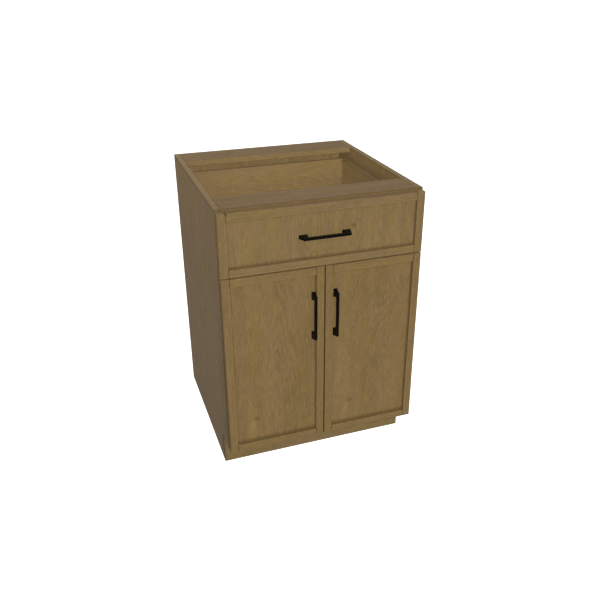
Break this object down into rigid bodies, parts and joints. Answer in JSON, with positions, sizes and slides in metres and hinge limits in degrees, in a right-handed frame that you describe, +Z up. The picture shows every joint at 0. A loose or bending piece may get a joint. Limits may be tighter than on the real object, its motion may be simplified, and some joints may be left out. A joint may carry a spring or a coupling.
{
  "type": "kitchen base cabinet",
  "caption": "Frameless kitchen base cabinet in stained wood: slim-frame drawer front over a pair of doors, black bar pulls, open top, recessed toe space.",
  "frame": {"origin": "middle of the bounding box in plan, on the floor; the box includes the pulls", "axes": "+Z up, -Y out of the front, +X to the right for someone facing the front"},
  "size_m": [0.6096, 0.6504, 0.8763],
  "materials": {
    "stained_oak": "brown stained veneer and solid wood, satin lacquer",
    "drawer_box_oak": "the same brown stain, satin lacquer",
    "dowel_beech": "raw",
    "black_pull_metal": "black satin powder coat",
    "zinc_steel": "zinc plated",
    "nickel_hinge_steel": "nickel plated",
    "clip_plastic": "moulded grey",
    "bumper_rubber": "soft translucent grey"
  },
  "bodies": {
    "carcass": {"left_side_panel": "stained_oak", "right_side_panel": "stained_oak", "bottom_panel": "stained_oak", "back_panel": "stained_oak", "rear_stretcher": "stained_oak", "front_stretcher": "stained_oak", "mid_stretcher": "stained_oak", "toe_kick_board": "stained_oak", "adjustable_shelf": "stained_oak", "shelf_pins": "nickel_hinge_steel", "carcass_dowels": "dowel_beech", "back_panel_screws": "zinc_steel", "left_slide_cabinet_rail": "zinc_steel", "right_slide_cabinet_rail": "zinc_steel", "carcass_hardware_screws": "zinc_steel", "hinge_mounting_plates": "nickel_hinge_steel", "hinge_arms": "nickel_hinge_steel"},
    "slide_middle": {"left_slide_middle_rail": "zinc_steel", "right_slide_middle_rail": "zinc_steel"},
    "drawer": {"drawer_box_left_side": "drawer_box_oak", "drawer_box_right_side": "drawer_box_oak", "drawer_box_front": "drawer_box_oak", "drawer_box_back": "drawer_box_oak", "drawer_box_bottom": "drawer_box_oak", "drawer_box_dowels": "dowel_beech", "left_slide_drawer_rail": "zinc_steel", "right_slide_drawer_rail": "zinc_steel", "drawer_locking_clips": "clip_plastic", "drawer_front_left_stile": "stained_oak", "drawer_front_right_stile": "stained_oak", "drawer_front_top_rail": "stained_oak", "drawer_front_bottom_rail": "stained_oak", "drawer_front_panel": "stained_oak", "drawer_front_screws": "zinc_steel", "drawer_bumpers": "bumper_rubber", "drawer_pull_bar": "black_pull_metal", "drawer_pull_feet": "black_pull_metal", "drawer_pull_screws": "zinc_steel"},
    "left_hinge_links": {"left_hinge_links": "nickel_hinge_steel"},
    "left_door": {"left_door_left_stile": "stained_oak", "left_door_right_stile": "stained_oak", "left_door_top_rail": "stained_oak", "left_door_bottom_rail": "stained_oak", "left_door_panel": "stained_oak", "left_door_pull_bar": "black_pull_metal", "left_door_pull_feet": "black_pull_metal", "left_door_pull_screws": "zinc_steel", "left_door_bumpers": "bumper_rubber", "left_door_hinge_cups": "nickel_hinge_steel"},
    "right_hinge_links": {"right_hinge_links": "nickel_hinge_steel"},
    "right_door": {"right_door_left_stile": "stained_oak", "right_door_right_stile": "stained_oak", "right_door_top_rail": "stained_oak", "right_door_bottom_rail": "stained_oak", "right_door_panel": "stained_oak", "right_door_pull_bar": "black_pull_metal", "right_door_pull_feet": "black_pull_metal", "right_door_pull_screws": "zinc_steel", "right_door_bumpers": "bumper_rubber", "right_door_hinge_cups": "nickel_hinge_steel"}
  },
  "joints": [
    {"name": "drawer_slide", "type": "slide", "parent": "carcass", "child": "drawer", "axis": [0, -1, 0], "range_m": [0, 0.51]},
    {"name": "slide_middle_travel", "type": "slide", "parent": "carcass", "child": "slide_middle", "axis": [0, -1, 0], "range_m": [0, 0.2552]},
    {"name": "left_hinge_link_slide", "type": "slide", "parent": "carcass", "child": "left_hinge_links", "axis": [0, -1, 0], "range_m": [0, 0.0212]},
    {"name": "left_door_swing", "type": "hinge", "parent": "left_hinge_links", "child": "left_door", "pos_m": [-0.286, -0.2934, 0.391], "axis": [0, 0, -1], "range_deg": [0, 110]},
    {"name": "right_hinge_link_slide", "type": "slide", "parent": "carcass", "child": "right_hinge_links", "axis": [0, -1, 0], "range_m": [0, 0.0212]},
    {"name": "right_door_swing", "type": "hinge", "parent": "right_hinge_links", "child": "right_door", "pos_m": [0.286, -0.2934, 0.391], "axis": [0, 0, 1], "range_deg": [0, 110]}
  ],
  "couplings": [
    {"joint": "slide_middle_travel", "follows": "drawer_slide", "ratio": 0.5},
    {"joint": "left_hinge_link_slide", "follows": "left_door_swing", "m_per_rad": 0.011},
    {"joint": "right_hinge_link_slide", "follows": "right_door_swing", "m_per_rad": 0.011}
  ]
}
